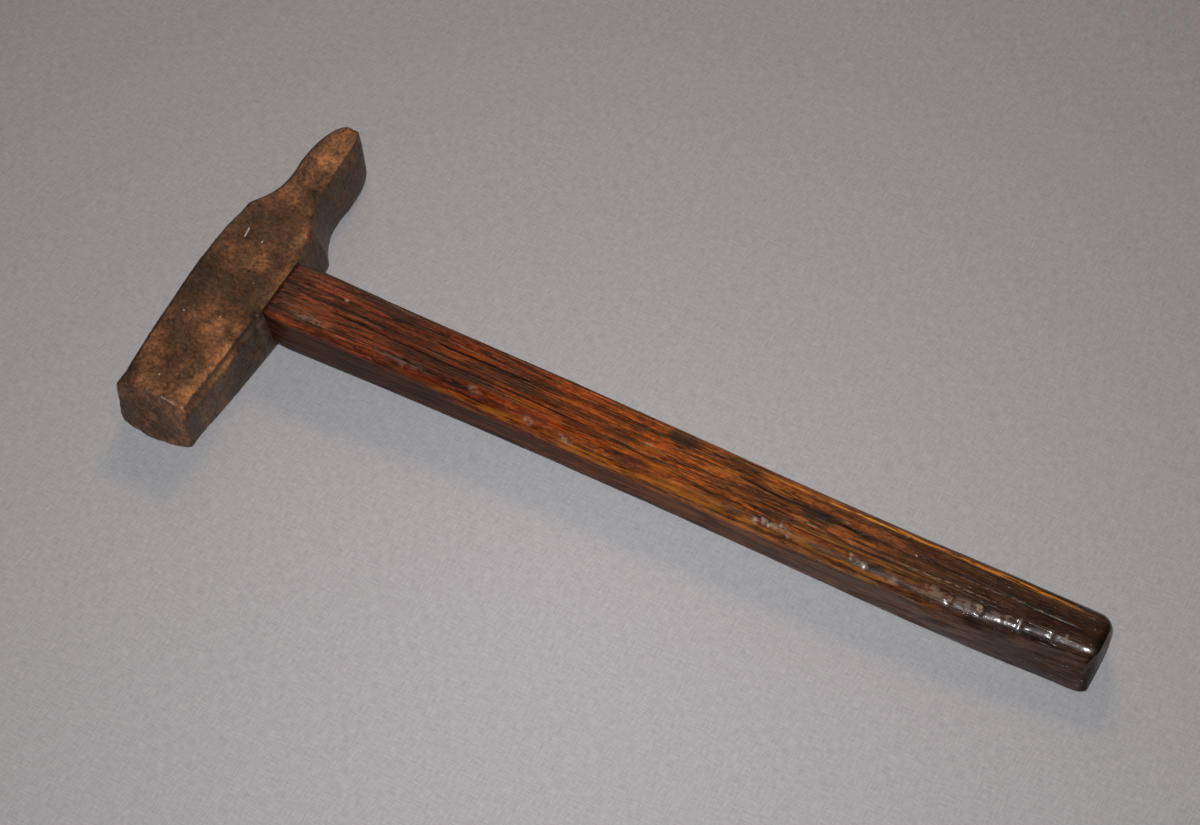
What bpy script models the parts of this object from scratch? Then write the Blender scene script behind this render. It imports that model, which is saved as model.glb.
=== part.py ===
"""Tack hammer: a forged steel head on a wooden handle, held by two wedges in the eye.

The hammer lies on one cheek of its head. +X runs along the handle from the head to the butt,
+Y runs along the head from the striking face to the peen, and +Z is up. The origin is the middle
of the eye, on the cheek that the hammer lies on. All dimensions below are in millimetres.
"""
import math

import bmesh
import bpy

MM = 0.001
GAP = 0.3                       # clearance between pieces that touch on the real hammer
CORNER_STEPS = 5                # segments in each rounded corner of a section
SHARP_ANGLE = math.radians(32.0)

# Head: places along Y, with the half width there
THICKNESS = 18.4                # from cheek to cheek
FACE_Y = -58.3                  # striking face, at the middle of its lower edge
BULGE_Y = -5.0                  # widest place, beside the eye
SHOULDER_Y = 25.0               # where the scallop of the neck begins
NECK_Y = 42.0                   # bottom of the scallop
FLARE_Y = 47.5                  # corner where the scallop ends and the peen begins
PEEN_Y = 66.3                   # working edge of the peen
FACE_HALF = 12.4
BULGE_HALF = 16.0
SHOULDER_HALF = 14.2
NECK_HALF = 8.0
FLARE_HALF = 8.4
PEEN_HALF = 1.8

TOP_EDGE_RADIUS = 2.0           # the edges of the worn upper cheek
LOWER_EDGE_RADIUS = 2.2
FACE_BEVEL = 1.1                # bevel around the striking face
FACE_BOW = 2.3                  # how far the corners of its lower edge lie behind the middle
FACE_LEAN = 2.4                 # how far its upper corners lie behind the lower middle
FACE_WEAR = 2.0                 # how much further the middle of its upper edge is worn back
PEEN_TIP_DROP = 1.0             # rounding of the peen edge's two ends
LEAN = (                        # y, and how far the handle side leans in at the upper cheek there
    (FACE_Y, 1.0), (-24.0, 2.4), (0.0, 3.2), (12.0, 2.9), (24.0, 4.2),
    (NECK_Y, 2.4), (50.0, 3.9), (PEEN_Y, 0.7),
)

# Eye, a tapered hole along X, and the seat for the handle's shoulder
EYE_Z = 9.2
EYE_HALF_Y = 8.0
EYE_HALF_Z = 4.7
EYE_FLARE = 0.7                 # how much wider each way the eye is at its far mouth
EYE_RADIUS = 1.5
SEAT_X = 11.9

# Handle: (x, low y, high y, low z, high z, corner radius) down the grip
GRIP_SECTIONS = (
    (20.0, -11.0, 11.9, 3.4, 18.0, 1.6),
    (62.0, -9.9, 11.3, 2.8, 17.5, 1.6),
    (110.0, -9.8, 11.5, 2.7, 16.9, 1.8),
    (170.0, -10.4, 11.2, 2.3, 16.2, 2.2),
    (225.0, -10.7, 10.7, 0.6, 15.7, 2.6),
    (255.0, -10.6, 11.1, 0.0, 15.4, 3.0),
    (276.0, -10.0, 11.2, 0.0, 15.0, 3.2),
)
SHOULDER_EASE = 0.9             # how much the grip narrows all round at its shoulder
SPAN_STEPS = 4                  # sections made between two grip sections
BUTT_X = 286.4
BUTT_ROUND_X = 5.5
BUTT_ROUND_LOW_Y = 1.8          # the butt is rounded less on this side
BUTT_ROUND_HIGH_Y = 4.4
BUTT_ROUND_Z = 1.6
TENON_END_X = -15.4

# Wedges: thickness at the outer end and at the driven tip
WOOD_WEDGE_THICK = 3.2
WOOD_WEDGE_TIP = 0.8
WOOD_WEDGE_TIP_X = 6.0
STEEL_WEDGE_THICK = 2.4
STEEL_WEDGE_TIP = 0.7
STEEL_WEDGE_TIP_X = -4.0
STEEL_WEDGE_HALF_Z = 4.2


def clear_scene():
    """Remove everything that the new scene holds."""
    for thing in list(bpy.data.objects):
        bpy.data.objects.remove(thing, do_unlink=True)


def make_material(name, colour, roughness, metallic):
    """Return a plain Principled BSDF material."""
    material = bpy.data.materials.new(name)
    material.use_nodes = True
    shader = material.node_tree.nodes["Principled BSDF"]
    shader.inputs["Base Color"].default_value = (*colour, 1.0)
    shader.inputs["Roughness"].default_value = roughness
    shader.inputs["Metallic"].default_value = metallic
    return material


def rounded_section(low_a, high_a, low_b, high_b, low_radius, high_radius):
    """Return the points of a rectangle in the plane (a, b), with rounded corners.

    The corners at low b have low_radius and those at high b have high_radius.
    """
    most = 0.98 * min(high_a - low_a, high_b - low_b) / 2.0
    low_radius = min(low_radius, most)
    high_radius = min(high_radius, most)
    corners = (
        (high_a - low_radius, low_b + low_radius, low_radius, -90.0),
        (high_a - high_radius, high_b - high_radius, high_radius, 0.0),
        (low_a + high_radius, high_b - high_radius, high_radius, 90.0),
        (low_a + low_radius, low_b + low_radius, low_radius, 180.0),
    )
    points = []
    for centre_a, centre_b, radius, start in corners:
        for step in range(CORNER_STEPS + 1):
            angle = math.radians(start + 90.0 * step / CORNER_STEPS)
            point_a = centre_a + radius * math.cos(angle)
            point_b = centre_b + radius * math.sin(angle)
            points.append((point_a, point_b))
    return points


def loft(name, rings, material=None):
    """Skin a row of closed rings, given in millimetres, and cap both ends."""
    shape = bmesh.new()
    rows = []
    for ring in rings:
        rows.append([shape.verts.new((x * MM, y * MM, z * MM)) for x, y, z in ring])
    count = len(rings[0])
    for row, following in zip(rows, rows[1:]):
        for index in range(count):
            after = (index + 1) % count
            shape.faces.new((row[index], row[after], following[after], following[index]))
    shape.faces.new(rows[0])
    shape.faces.new(rows[-1])
    bmesh.ops.recalc_face_normals(shape, faces=shape.faces)
    mesh = bpy.data.meshes.new(name)
    shape.to_mesh(mesh)
    shape.free()
    mesh.shade_smooth()
    mesh.set_sharp_from_angle(angle=SHARP_ANGLE)
    if material:
        mesh.materials.append(material)
    made = bpy.data.objects.new(name, mesh)
    bpy.context.scene.collection.objects.link(made)
    return made


def cut(piece, cutter):
    """Subtract the cutter from the piece and leave the cutter as a guide."""
    cutter.hide_render = True
    cutter.display_type = "WIRE"
    modifier = piece.modifiers.new(f"cut_{cutter.name}", "BOOLEAN")
    modifier.operation = "DIFFERENCE"
    modifier.solver = "EXACT"
    modifier.object = cutter


def head_half_width(y):
    """Half the head's width, seen from above, at a place along the head."""
    if y < BULGE_Y:
        t = (BULGE_Y - y) / (BULGE_Y - FACE_Y)
        return BULGE_HALF - (BULGE_HALF - FACE_HALF) * t ** 1.2
    if y < SHOULDER_Y:
        t = (y - BULGE_Y) / (SHOULDER_Y - BULGE_Y)
        return BULGE_HALF - (BULGE_HALF - SHOULDER_HALF) * t ** 2
    if y < NECK_Y:
        t = (y - SHOULDER_Y) / (NECK_Y - SHOULDER_Y)
        return NECK_HALF + (SHOULDER_HALF - NECK_HALF) * (1.0 - t) ** 2.3
    if y < FLARE_Y:
        t = (y - NECK_Y) / (FLARE_Y - NECK_Y)
        return NECK_HALF + (FLARE_HALF - NECK_HALF) * t ** 2
    t = min((y - FLARE_Y) / (PEEN_Y - FLARE_Y), 1.0)
    return PEEN_HALF + (FLARE_HALF - PEEN_HALF) * math.sqrt(1.0 - t ** 2.2)


def head_stations():
    """Places along the head, closest together where its outline turns fast."""
    body_steps = 12
    neck_steps = 7
    peen_steps = 8
    body_start = FACE_Y + FACE_BOW + 3.0 * FACE_BEVEL
    places = [body_start + (SHOULDER_Y - body_start) * i / body_steps for i in range(body_steps)]
    places += [SHOULDER_Y + (NECK_Y - SHOULDER_Y) * (i / neck_steps) ** 1.6 for i in range(neck_steps)]
    places += [NECK_Y, (NECK_Y + FLARE_Y) / 2.0]
    places += [
        FLARE_Y + (PEEN_Y - FLARE_Y) * math.sin(0.5 * math.pi * i / peen_steps) ** 0.9
        for i in range(peen_steps)
    ]
    return places


def face_y(x, z):
    """Where the worn striking face lies, at a place across it."""
    across = (x / FACE_HALF) ** 2
    low = FACE_BOW * across
    high = FACE_LEAN + FACE_WEAR * (1.0 - across)
    return FACE_Y + low + (high - low) * z / THICKNESS


def face_rings():
    """Rings from near the middle of the striking face out to the head's full section."""
    outline = head_ring(FACE_Y)
    middle_z = THICKNESS / 2.0
    rings = []
    for scale in (0.15, 0.6, 1.0 - FACE_BEVEL / FACE_HALF):
        spots = [(x * scale, middle_z + (z - middle_z) * scale) for x, _, z in outline]
        rings.append([(x, face_y(x, z), z) for x, z in spots])
    rings.append([(x, face_y(x, z) + FACE_BEVEL, z) for x, _, z in outline])
    return rings


def near_lean(y):
    """How far the handle side leans in at the upper cheek, at a place along the head."""
    for (low_y, low_lean), (high_y, high_lean) in zip(LEAN, LEAN[1:]):
        if y <= high_y:
            return low_lean + (high_lean - low_lean) * (y - low_y) / (high_y - low_y)
    return LEAN[-1][1]


def head_ring(y, inset=0.0, top_drop=0.0, bottom_rise=0.0):
    """One section of the head, optionally drawn in at its sides, top and bottom."""
    half = head_half_width(y) - inset
    section = rounded_section(
        -half, half, bottom_rise, THICKNESS - top_drop, LOWER_EDGE_RADIUS, TOP_EDGE_RADIUS
    )
    narrower = 1.0 - near_lean(y) / half
    ring = []
    for x, z in section:
        leans = x > 0.0 and z > THICKNESS / 2.0
        ring.append((x * narrower if leans else x, y, z))
    return ring


def make_head(material):
    """The forging, with its eye and the seat for the handle's shoulder cut out."""
    rings = face_rings() + [head_ring(y) for y in head_stations()]
    rings.append(head_ring(PEEN_Y - 0.5, 0.0, 0.5 * PEEN_TIP_DROP, 0.2 * PEEN_TIP_DROP))
    rings.append(head_ring(PEEN_Y, 0.4, PEEN_TIP_DROP, 0.6 * PEEN_TIP_DROP))
    head = loft("hammer_head", rings, material)
    cut(head, make_eye_cutter())
    cut(head, make_seat_cutter())
    return head


def make_eye_cutter():
    """The eye, wider towards the far mouth so that the wedged handle can't pull out."""
    near_x = 2.0 * BULGE_HALF
    far_x = -near_x
    rings = []
    for x in (far_x, near_x):
        grow = eye_growth(x)
        section = rounded_section(
            -EYE_HALF_Y - grow, EYE_HALF_Y + grow,
            EYE_Z - EYE_HALF_Z - grow, EYE_Z + EYE_HALF_Z + grow,
            EYE_RADIUS, EYE_RADIUS,
        )
        rings.append([(x, y, z) for y, z in section])
    return loft("eye_cutter", rings)


def eye_growth(x):
    """How much larger the eye's half sizes are at x than at the seat."""
    return EYE_FLARE * (SEAT_X - x) / (SEAT_X + BULGE_HALF)


def make_seat_cutter():
    """The notch in the handle side of the head that the handle's shoulder sits in."""
    _, low_y, high_y, low_z, _, _ = GRIP_SECTIONS[0]
    rings = []
    for x in (SEAT_X, 2.0 * BULGE_HALF):
        section = rounded_section(
            low_y - GAP, high_y + GAP, low_z - GAP, 2.0 * THICKNESS, GAP, GAP
        )
        rings.append([(x, y, z) for y, z in section])
    return loft("seat_cutter", rings)


def between(sections, span, t):
    """Section at a fraction t of a span, on a smooth curve through all the sections.

    The curve's low side stops at the table, which the butt rests on.
    """
    first = sections[max(span - 1, 0)]
    start = sections[span]
    end = sections[span + 1]
    last = sections[min(span + 2, len(sections) - 1)]
    mixed = []
    for a, b, c, d in zip(first[1:], start[1:], end[1:], last[1:]):
        slope_in = (c - a) / 2.0
        slope_out = (d - b) / 2.0
        bend = (2.0 * t ** 3 - 3.0 * t ** 2 + 1.0) * b + (t ** 3 - 2.0 * t ** 2 + t) * slope_in
        bend += (3.0 * t ** 2 - 2.0 * t ** 3) * c + (t ** 3 - t ** 2) * slope_out
        mixed.append(bend)
    mixed[2] = max(mixed[2], 0.0)
    return (start[0] + (end[0] - start[0]) * t, *mixed)


def grip_ring(section, inset_low_y=0.0, inset_high_y=0.0, inset_z=0.0):
    """Points of one grip section, drawn in by the insets."""
    x, low_y, high_y, low_z, high_z, radius = section
    outline = rounded_section(
        low_y + inset_low_y, high_y - inset_high_y, low_z + inset_z, high_z - inset_z, radius, radius
    )
    return [(x, y, z) for y, z in outline]


def grip_rings():
    """All rings of the grip, from the shoulder to the rounded butt."""
    shoulder = (SEAT_X + GAP, *GRIP_SECTIONS[0][1:])
    rings = [grip_ring(shoulder, SHOULDER_EASE, SHOULDER_EASE, SHOULDER_EASE)]
    halfway = ((shoulder[0] + GRIP_SECTIONS[0][0]) / 2.0, *GRIP_SECTIONS[0][1:])
    eased = 0.25 * SHOULDER_EASE
    rings.append(grip_ring(halfway, eased, eased, eased))
    for span in range(len(GRIP_SECTIONS) - 1):
        for step in range(SPAN_STEPS):
            rings.append(grip_ring(between(GRIP_SECTIONS, span, step / SPAN_STEPS)))
    butt_steps = 5
    for step in range(butt_steps + 1):
        angle = 0.5 * math.pi * step / butt_steps
        x = BUTT_X - BUTT_ROUND_X * (1.0 - math.sin(angle))
        draw_in = 1.0 - math.cos(angle)
        section = (x, *GRIP_SECTIONS[-1][1:])
        insets = (draw_in * size for size in (BUTT_ROUND_LOW_Y, BUTT_ROUND_HIGH_Y, BUTT_ROUND_Z))
        rings.append(grip_ring(section, *insets))
    return rings


def tenon_ring(x):
    """A section of the tenon, which follows the eye with a small gap."""
    half_y = EYE_HALF_Y + eye_growth(x) - GAP
    half_z = EYE_HALF_Z + eye_growth(x) - GAP
    outline = rounded_section(
        -half_y, half_y, EYE_Z - half_z, EYE_Z + half_z, EYE_RADIUS - GAP, EYE_RADIUS - GAP
    )
    return [(x, y, z) for y, z in outline]


def make_handle(material):
    """The handle in one piece: tenon, shoulder and grip, with slots for both wedges."""
    rings = [tenon_ring(TENON_END_X), tenon_ring(SEAT_X + GAP)]
    handle = loft("handle", rings + grip_rings(), material)
    cut(handle, make_wood_wedge_shape("kerf_cutter", GAP, 2.0 * EYE_HALF_Y))
    cut(handle, make_steel_wedge_shape("handle_slot_cutter", GAP, THICKNESS))
    return handle


def wedge(name, outer_x, tip_x, outer_section, tip_section, material=None):
    """A wedge along X, from its outer end's section to its tip's, as (half y, half z)."""
    rings = []
    for x, (half_y, half_z) in ((outer_x, outer_section), (tip_x, tip_section)):
        corners = ((half_y, -half_z), (half_y, half_z), (-half_y, half_z), (-half_y, -half_z))
        rings.append([(x, y, EYE_Z + z) for y, z in corners])
    return loft(name, rings, material)


def make_wood_wedge_shape(name, clearance=0.0, half_width=None, material=None):
    """The wedge that lies flat in the tenon, or its kerf when a clearance is given."""
    outer_x = TENON_END_X - 4.0 * clearance
    outer = WOOD_WEDGE_THICK / 2.0 + clearance
    tip = WOOD_WEDGE_TIP / 2.0 + clearance
    outer_half = half_width or EYE_HALF_Y + eye_growth(TENON_END_X) - 1.5 * GAP
    tip_half = half_width or EYE_HALF_Y + eye_growth(WOOD_WEDGE_TIP_X) - 1.5 * GAP
    return wedge(
        name, outer_x, WOOD_WEDGE_TIP_X + clearance, (outer_half, outer), (tip_half, tip), material
    )


def make_steel_wedge_shape(name, clearance=0.0, half_height=None, material=None):
    """The iron wedge that stands across the other one, or its slot."""
    outer_x = TENON_END_X - 4.0 * clearance
    outer = STEEL_WEDGE_THICK / 2.0 + clearance
    tip = STEEL_WEDGE_TIP / 2.0 + clearance
    half = half_height or STEEL_WEDGE_HALF_Z
    return wedge(name, outer_x, STEEL_WEDGE_TIP_X + clearance, (outer, half), (tip, half), material)


def main():
    clear_scene()
    steel = make_material("forged_steel", (0.16, 0.095, 0.05), 0.55, 0.6)
    wood = make_material("handle_wood", (0.20, 0.060, 0.018), 0.35, 0.0)
    wedge_wood = make_material("wedge_wood", (0.24, 0.12, 0.05), 0.6, 0.0)
    wedge_iron = make_material("wedge_iron", (0.11, 0.075, 0.05), 0.6, 0.7)
    make_head(steel)
    make_handle(wood)
    wooden_wedge = make_wood_wedge_shape("wooden_wedge", material=wedge_wood)
    cut(wooden_wedge, make_steel_wedge_shape("wedge_slot_cutter", GAP, THICKNESS))
    make_steel_wedge_shape("steel_wedge", material=wedge_iron)


main()
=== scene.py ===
"""Looks of the tack hammer: a worn forged head, a handled hardwood handle and its two wedges.

Each visible piece is a dense skin laid on its CAD solid and then worn inwards by forging marks,
pits, dents, open grain and cracks. Shapes are in millimetres, materials and the stage in metres.

The hammer lies on one cheek, with its eye at the origin. X runs along the handle to the butt, and
Y along the head from the striking face to the peen. The head's near side is the handle's side,
towards +X. The handle's near side faces the same way as the striking face, towards -Y.
"""
import math

import bpy
import numpy as np
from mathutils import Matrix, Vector
from mathutils.bvhtree import BVHTree


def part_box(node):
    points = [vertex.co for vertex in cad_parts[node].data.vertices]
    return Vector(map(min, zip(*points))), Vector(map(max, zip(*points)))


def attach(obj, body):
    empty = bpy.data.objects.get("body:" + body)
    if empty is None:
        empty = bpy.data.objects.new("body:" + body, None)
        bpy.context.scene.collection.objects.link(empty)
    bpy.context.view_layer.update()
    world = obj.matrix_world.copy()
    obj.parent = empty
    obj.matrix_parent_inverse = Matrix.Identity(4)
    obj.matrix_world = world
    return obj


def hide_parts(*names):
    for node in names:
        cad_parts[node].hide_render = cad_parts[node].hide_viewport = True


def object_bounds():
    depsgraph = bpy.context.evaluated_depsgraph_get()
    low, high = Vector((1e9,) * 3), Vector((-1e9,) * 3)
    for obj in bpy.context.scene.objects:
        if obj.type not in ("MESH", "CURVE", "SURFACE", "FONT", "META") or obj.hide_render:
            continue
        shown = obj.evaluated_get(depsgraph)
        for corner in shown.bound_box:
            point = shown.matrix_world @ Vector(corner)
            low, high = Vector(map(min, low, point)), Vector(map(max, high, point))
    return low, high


MM = 0.001
FAR_AWAY = 900.0              # where probes start from, well outside the hammer
LEAST_PRESS = 0.003           # every point is pressed in at least this far, to stay in the CAD's box
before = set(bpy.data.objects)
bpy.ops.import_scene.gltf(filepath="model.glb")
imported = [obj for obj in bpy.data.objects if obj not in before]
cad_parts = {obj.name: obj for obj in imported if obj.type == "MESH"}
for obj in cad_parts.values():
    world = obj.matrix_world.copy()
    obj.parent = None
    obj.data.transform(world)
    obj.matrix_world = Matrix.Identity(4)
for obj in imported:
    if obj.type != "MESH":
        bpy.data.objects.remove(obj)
cad_low, cad_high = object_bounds()


# ------------------------------ noise

def smooth_noise(points, seed):
    """A smooth random value between -1 and 1 at each of an (n, 3) array of points."""
    draw = np.random.default_rng(seed)
    table = draw.permutation(256)
    values = draw.uniform(-1.0, 1.0, 256)
    cell = np.floor(points).astype(int)
    local = points - cell
    local = local * local * (3.0 - 2.0 * local)
    total = np.zeros(len(points))
    for dx in (0, 1):
        weight_x = local[:, 0] if dx else 1.0 - local[:, 0]
        column = table[(cell[:, 0] + dx) & 255]
        for dy in (0, 1):
            weight_y = local[:, 1] if dy else 1.0 - local[:, 1]
            row = table[(column + cell[:, 1] + dy) & 255]
            for dz in (0, 1):
                weight_z = local[:, 2] if dz else 1.0 - local[:, 2]
                total += weight_x * weight_y * weight_z * values[table[(row + cell[:, 2] + dz) & 255]]
    return total


def fractal(points, size, octaves, seed):
    """Noise of several octaves. size is the length of its largest cells: one number or three."""
    scaled = points / np.asarray(size, float)
    total = np.zeros(len(points))
    strength = 0.6
    for octave in range(octaves):
        total += strength * smooth_noise(scaled * 2.0 ** octave + 17.3 * octave, seed + octave)
        strength *= 0.5
    return total


def ease(value, low, high):
    """A smooth step from 0 at low to 1 at high, or from 1 down to 0 if high is the smaller."""
    t = np.clip((value - low) / (high - low), 0.0, 1.0)
    return t * t * (3.0 - 2.0 * t)


def hollows(spots, centres, radii, stretch=(1.0, 1.0, 1.0)):
    """For each hollow, the spots inside it and how deep in it they are, from 0 to 1."""
    scale = np.asarray(stretch, float)
    for centre, radius in zip(centres, radii):
        near = np.nonzero(np.abs(spots[:, 0] - centre[0]) < radius * scale[0])[0]
        away = np.linalg.norm((spots[near] - centre) / scale, axis=1) / radius
        inside = away < 1.0
        yield near[inside], (1.0 - away[inside] ** 2) ** 2


def line_mark(spots, start, end, width):
    """How strongly a straight mark with tapering ends covers each spot, from 0 to 1."""
    start = np.asarray(start, float)
    along = np.asarray(end, float) - start
    t = np.clip((spots - start) @ along / (along @ along), 0.0, 1.0)
    away = np.linalg.norm(spots - start - t[:, None] * along, axis=1)
    taper = np.clip(8.0 * np.minimum(t, 1.0 - t) + 0.35, 0.0, 1.0)
    return np.clip(1.0 - (away / (width * taper)) ** 2, 0.0, 1.0)


# ------------------------------ skins

class Solid:
    """A CAD solid measured with straight probes, in millimetres."""

    def __init__(self, node):
        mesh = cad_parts[node].data
        corners = [vertex.co for vertex in mesh.vertices]
        self.tree = BVHTree.FromPolygons(corners, [tuple(face.vertices) for face in mesh.polygons])
        low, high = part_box(node)
        self.low = np.array(low) / MM
        self.high = np.array(high) / MM

    def probe(self, start, axis, sign):
        """Where a probe that runs along an axis from far away first meets the solid."""
        origin = Vector(start)
        origin[axis] = -FAR_AWAY * sign
        direction = Vector((0.0, 0.0, 0.0))
        direction[axis] = sign
        hit = self.tree.ray_cast(origin * MM, direction)[0]
        return hit[axis] / MM


def evened(values, width):
    """A row of values smoothed with a bell of that many samples each way."""
    reach = np.arange(-3 * width, 3 * width + 1)
    window = np.exp(-0.5 * (reach / width) ** 2)
    padded = np.pad(np.asarray(values), 3 * width, mode="reflect", reflect_type="odd")
    return np.convolve(padded, window / window.sum(), mode="valid")


def rounded_outline(low_a, high_a, low_b, high_b, radii, counts):
    """Points round a rectangle with rounded corners, counter-clockwise from the low a, low b one.

    radii and the first four counts follow the corners and the sides in that order: low b side,
    high a side, high b side and low a side. The last count is the steps of each corner.
    """
    most = 0.49 * min(high_a - low_a, high_b - low_b)
    corners = (
        (low_a, low_b, 1, 1), (high_a, low_b, -1, 1), (high_a, high_b, -1, -1), (low_a, high_b, 1, -1),
    )
    arcs = []
    for index, (a, b, side_a, side_b) in enumerate(corners):
        radius = min(radii[index], most)
        middle = np.array((a + side_a * radius, b + side_b * radius))
        angles = np.radians(180.0 + 90.0 * index + 90.0 * np.arange(counts[4] + 1) / counts[4])
        arcs.append(middle + radius * np.column_stack((np.cos(angles), np.sin(angles))))
    outline = []
    for index, arc in enumerate(arcs):
        fractions = (np.arange(1, counts[index]) / counts[index])[:, None]
        outline.append(arc)
        outline.append(arc[-1] + (arcs[(index + 1) % 4][0] - arc[-1]) * fractions)
    return np.vstack(outline)


def ring_at(x, outline):
    """An outline in y and z, placed at x."""
    return np.column_stack((np.full(len(outline), x), outline))


def skin(name, rings):
    """A closed mesh object through rings of points in millimetres, with a point at each end."""
    rows, count = rings.shape[:2]
    points = np.vstack((rings.reshape(-1, 3), rings[0].mean(0), rings[-1].mean(0)))
    index = np.arange(rows * count).reshape(rows, count)
    after = np.roll(index, -1, axis=1)
    quads = np.stack((index[:-1], after[:-1], after[1:], index[1:]), axis=-1).reshape(-1, 4)
    first, last = rows * count, rows * count + 1
    start_fan = [(first, int(b), int(a)) for a, b in zip(index[0], after[0])]
    end_fan = [(last, int(a), int(b)) for a, b in zip(index[-1], after[-1])]
    mesh = bpy.data.meshes.new(name)
    mesh.from_pydata((points * MM).tolist(), [], quads.tolist() + start_fan + end_fan)
    sides = rings[rows // 2] - rings[rows // 2].mean(0)
    travel = rings[rows // 2 + 1].mean(0) - rings[rows // 2].mean(0)
    if np.cross(sides, np.roll(sides, -1, axis=0)).sum(0) @ travel < 0.0:
        mesh.flip_normals()
    made = bpy.data.objects.new(name, mesh)
    bpy.context.scene.collection.objects.link(made)
    return made


def spots_of(made):
    """The vertices of an object, in millimetres."""
    found = np.empty(len(made.data.vertices) * 3)
    made.data.vertices.foreach_get("co", found)
    return found.reshape(-1, 3) / MM


def normals_of(made):
    """The outward normal at each vertex."""
    found = np.empty(len(made.data.vertices) * 3, np.float32)
    made.data.vertex_normals.foreach_get("vector", found)
    return found.reshape(-1, 3).astype(float)


def press_in(made, depth):
    """Move each vertex inwards along its normal, by its depth in millimetres."""
    moved = spots_of(made) - normals_of(made) * np.clip(depth, LEAST_PRESS, None)[:, None]
    made.data.vertices.foreach_set("co", (moved * MM).ravel())
    made.data.update()


def store(made, **layers):
    """Keep a number per vertex under each name, for the material to read."""
    for name, values in layers.items():
        layer = made.data.attributes.new(name, "FLOAT", "POINT")
        layer.data.foreach_set("value", values.astype(np.float32))


def grown_copy(node, margin):
    """A copy of a CAD node made larger all round by a margin in millimetres, to cut with."""
    made = bpy.data.objects.new(node + "_tool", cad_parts[node].data.copy())
    bpy.context.scene.collection.objects.link(made)
    press_out = spots_of(made) + normals_of(made) * margin * math.sqrt(3.0)
    made.data.vertices.foreach_set("co", (press_out * MM).ravel())
    return made


def evaluated_mesh(made):
    """A new mesh of an object with its modifiers applied."""
    depsgraph = bpy.context.evaluated_depsgraph_get()
    return bpy.data.meshes.new_from_object(made.evaluated_get(depsgraph), depsgraph=depsgraph)


def cut_away(made, tools):
    """Subtract tools from a skin for good, and remove them."""
    for tool in tools:
        modifier = made.modifiers.new("cut", "BOOLEAN")
        modifier.operation = "DIFFERENCE"
        modifier.solver = "EXACT"
        modifier.object = tool
    finished = evaluated_mesh(made)
    made.modifiers.clear()
    made.data = finished
    for tool in tools:
        bpy.data.objects.remove(tool)


def hand_over(made, node, material, sharp_degrees=40.0):
    """Give a finished piece its material and its place in the frame."""
    made.data.materials.clear()
    made.data.materials.append(material)
    made.data.shade_smooth()
    made.data.set_sharp_from_angle(angle=math.radians(sharp_degrees))
    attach(made, "root")
    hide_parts(node)


# ------------------------------ head

HEAD_COUNTS = (58, 42, 78, 42, 10)            # steps along the bottom, near, top and far sides, and a corner
HEAD_STEP = 0.42              # between two rings
PROBE_Z = 2.8                 # above the rounded lower edges and below the eye
FACE_BACK = 0.25              # the CAD face's middle line lies this far before its box
FACE_BOW = 2.3                # lower corners of the striking face, behind its lower middle
FACE_LEAN = 2.4               # upper corners, behind the lower middle
FACE_WEAR = 2.0               # how much further the middle of the upper edge is worn back
FACE_BLEND = 18.0             # the face's slope dies out over this length of the poll
MAX_EDGE = 1.9                # largest radius of the worn edge round the face
FACE_PROBE = 6.0              # nearer to the face than this, the sections are those of this place
PEEN_PROBE = 0.12             # the same before the peen's edge
PEEN_END = 3.0                # the rings crowd together over this length of the peen
LOWER_EDGE = 2.2              # radius of the head's lower edges

LEAN_STATIONS = (-57, -46, -24, -12, 0, 12, 20, 27, 34, 42, 50, 57, 63, 66)
LEAN_AT_TOP = (1.0, 1.3, 2.4, 3.0, 3.2, 2.9, 4.0, 4.2, 3.1, 2.4, 3.9, 3.4, 1.8, 0.7)
LEAN_FROM = 3.0               # height from which the near side leans in, towards the upper cheek
BEVEL_STATIONS = (-56, -40, -18, -12, 66)
BEVEL_DEPTHS = (1.1, 1.5, 1.3, 0.5, 0.3)
BEVEL_WIDTH = 5.0             # of the worn bevel along the upper cheek's near edge
RECESS_DEPTH = 0.8            # of the dished place in the near side, between the poll and the handle
PIT_DEPTH = 0.17
DENT_DEPTH = 0.20
BLOW_DEPTH = 0.18             # of the small dents in the striking face
NICK_DEPTH = 0.12
NICK_WIDTH = 0.36

EYE_HALF_Y = 7.9
EYE_HALF_Z = 4.6
EYE_MOUTH = 0.75              # how much wider the eye is at the far mouth, for the wedged tenon
EYE_RADIUS = 1.4
EYE_LIP = 3.2                 # how much wider the cutter is at its end, past the mouth, to ease it
SHOULDER_X = 12.05            # the handle's shoulder
SEAT_X = 11.95                # the bottom of the seat that the shoulder sits in
SEAT_CLEAR = 0.12
SEAT_RADIUS = 1.2

BRIGHT_NICKS = (              # x, y, length and direction in degrees, on the upper cheek
    (-7.6, 12, 3.8, 97), (-1.8, 12.2, 0.7, 70), (2, -19, 0.7, 60),
    (-9, -22, 0.8, 85), (4.4, -3, 0.5, 35), (-3, -46, 0.6, 15),
)
CHEEK_TONES = (               # x, y, half width, half length, strength: tan, or dark if negative
    (10, -38, 3.6, 19, 2.6), (3, -25, 4, 8, 1.5), (-0.5, 56, 6, 10, 1.7),
    (1, 44, 5, 6, 0.7), (6, -51, 6, 5, 1.1), (-3.5, -51, 5, 4, 1.3),
    (-3, 32, 6, 5, 0.6), (-9.5, 20, 3, 9, -0.6), (8.5, 17, 2.5, 5, 0.9),
    (-8, -26, 4, 13, -0.5), (-1.5, -39, 3.5, 7, -0.8), (8, 2, 4.5, 9, -0.3),
    (-8, 9, 3.5, 5, -0.5), (1, 11, 4, 5, 0.7), (-9.5, -50, 2.5, 3.5, -0.8),
    (-10.5, -10, 4.5, 18, -1.1), (4, 34, 3, 5, -0.6), (-10, -57, 4, 2.5, -1),
)


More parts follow.
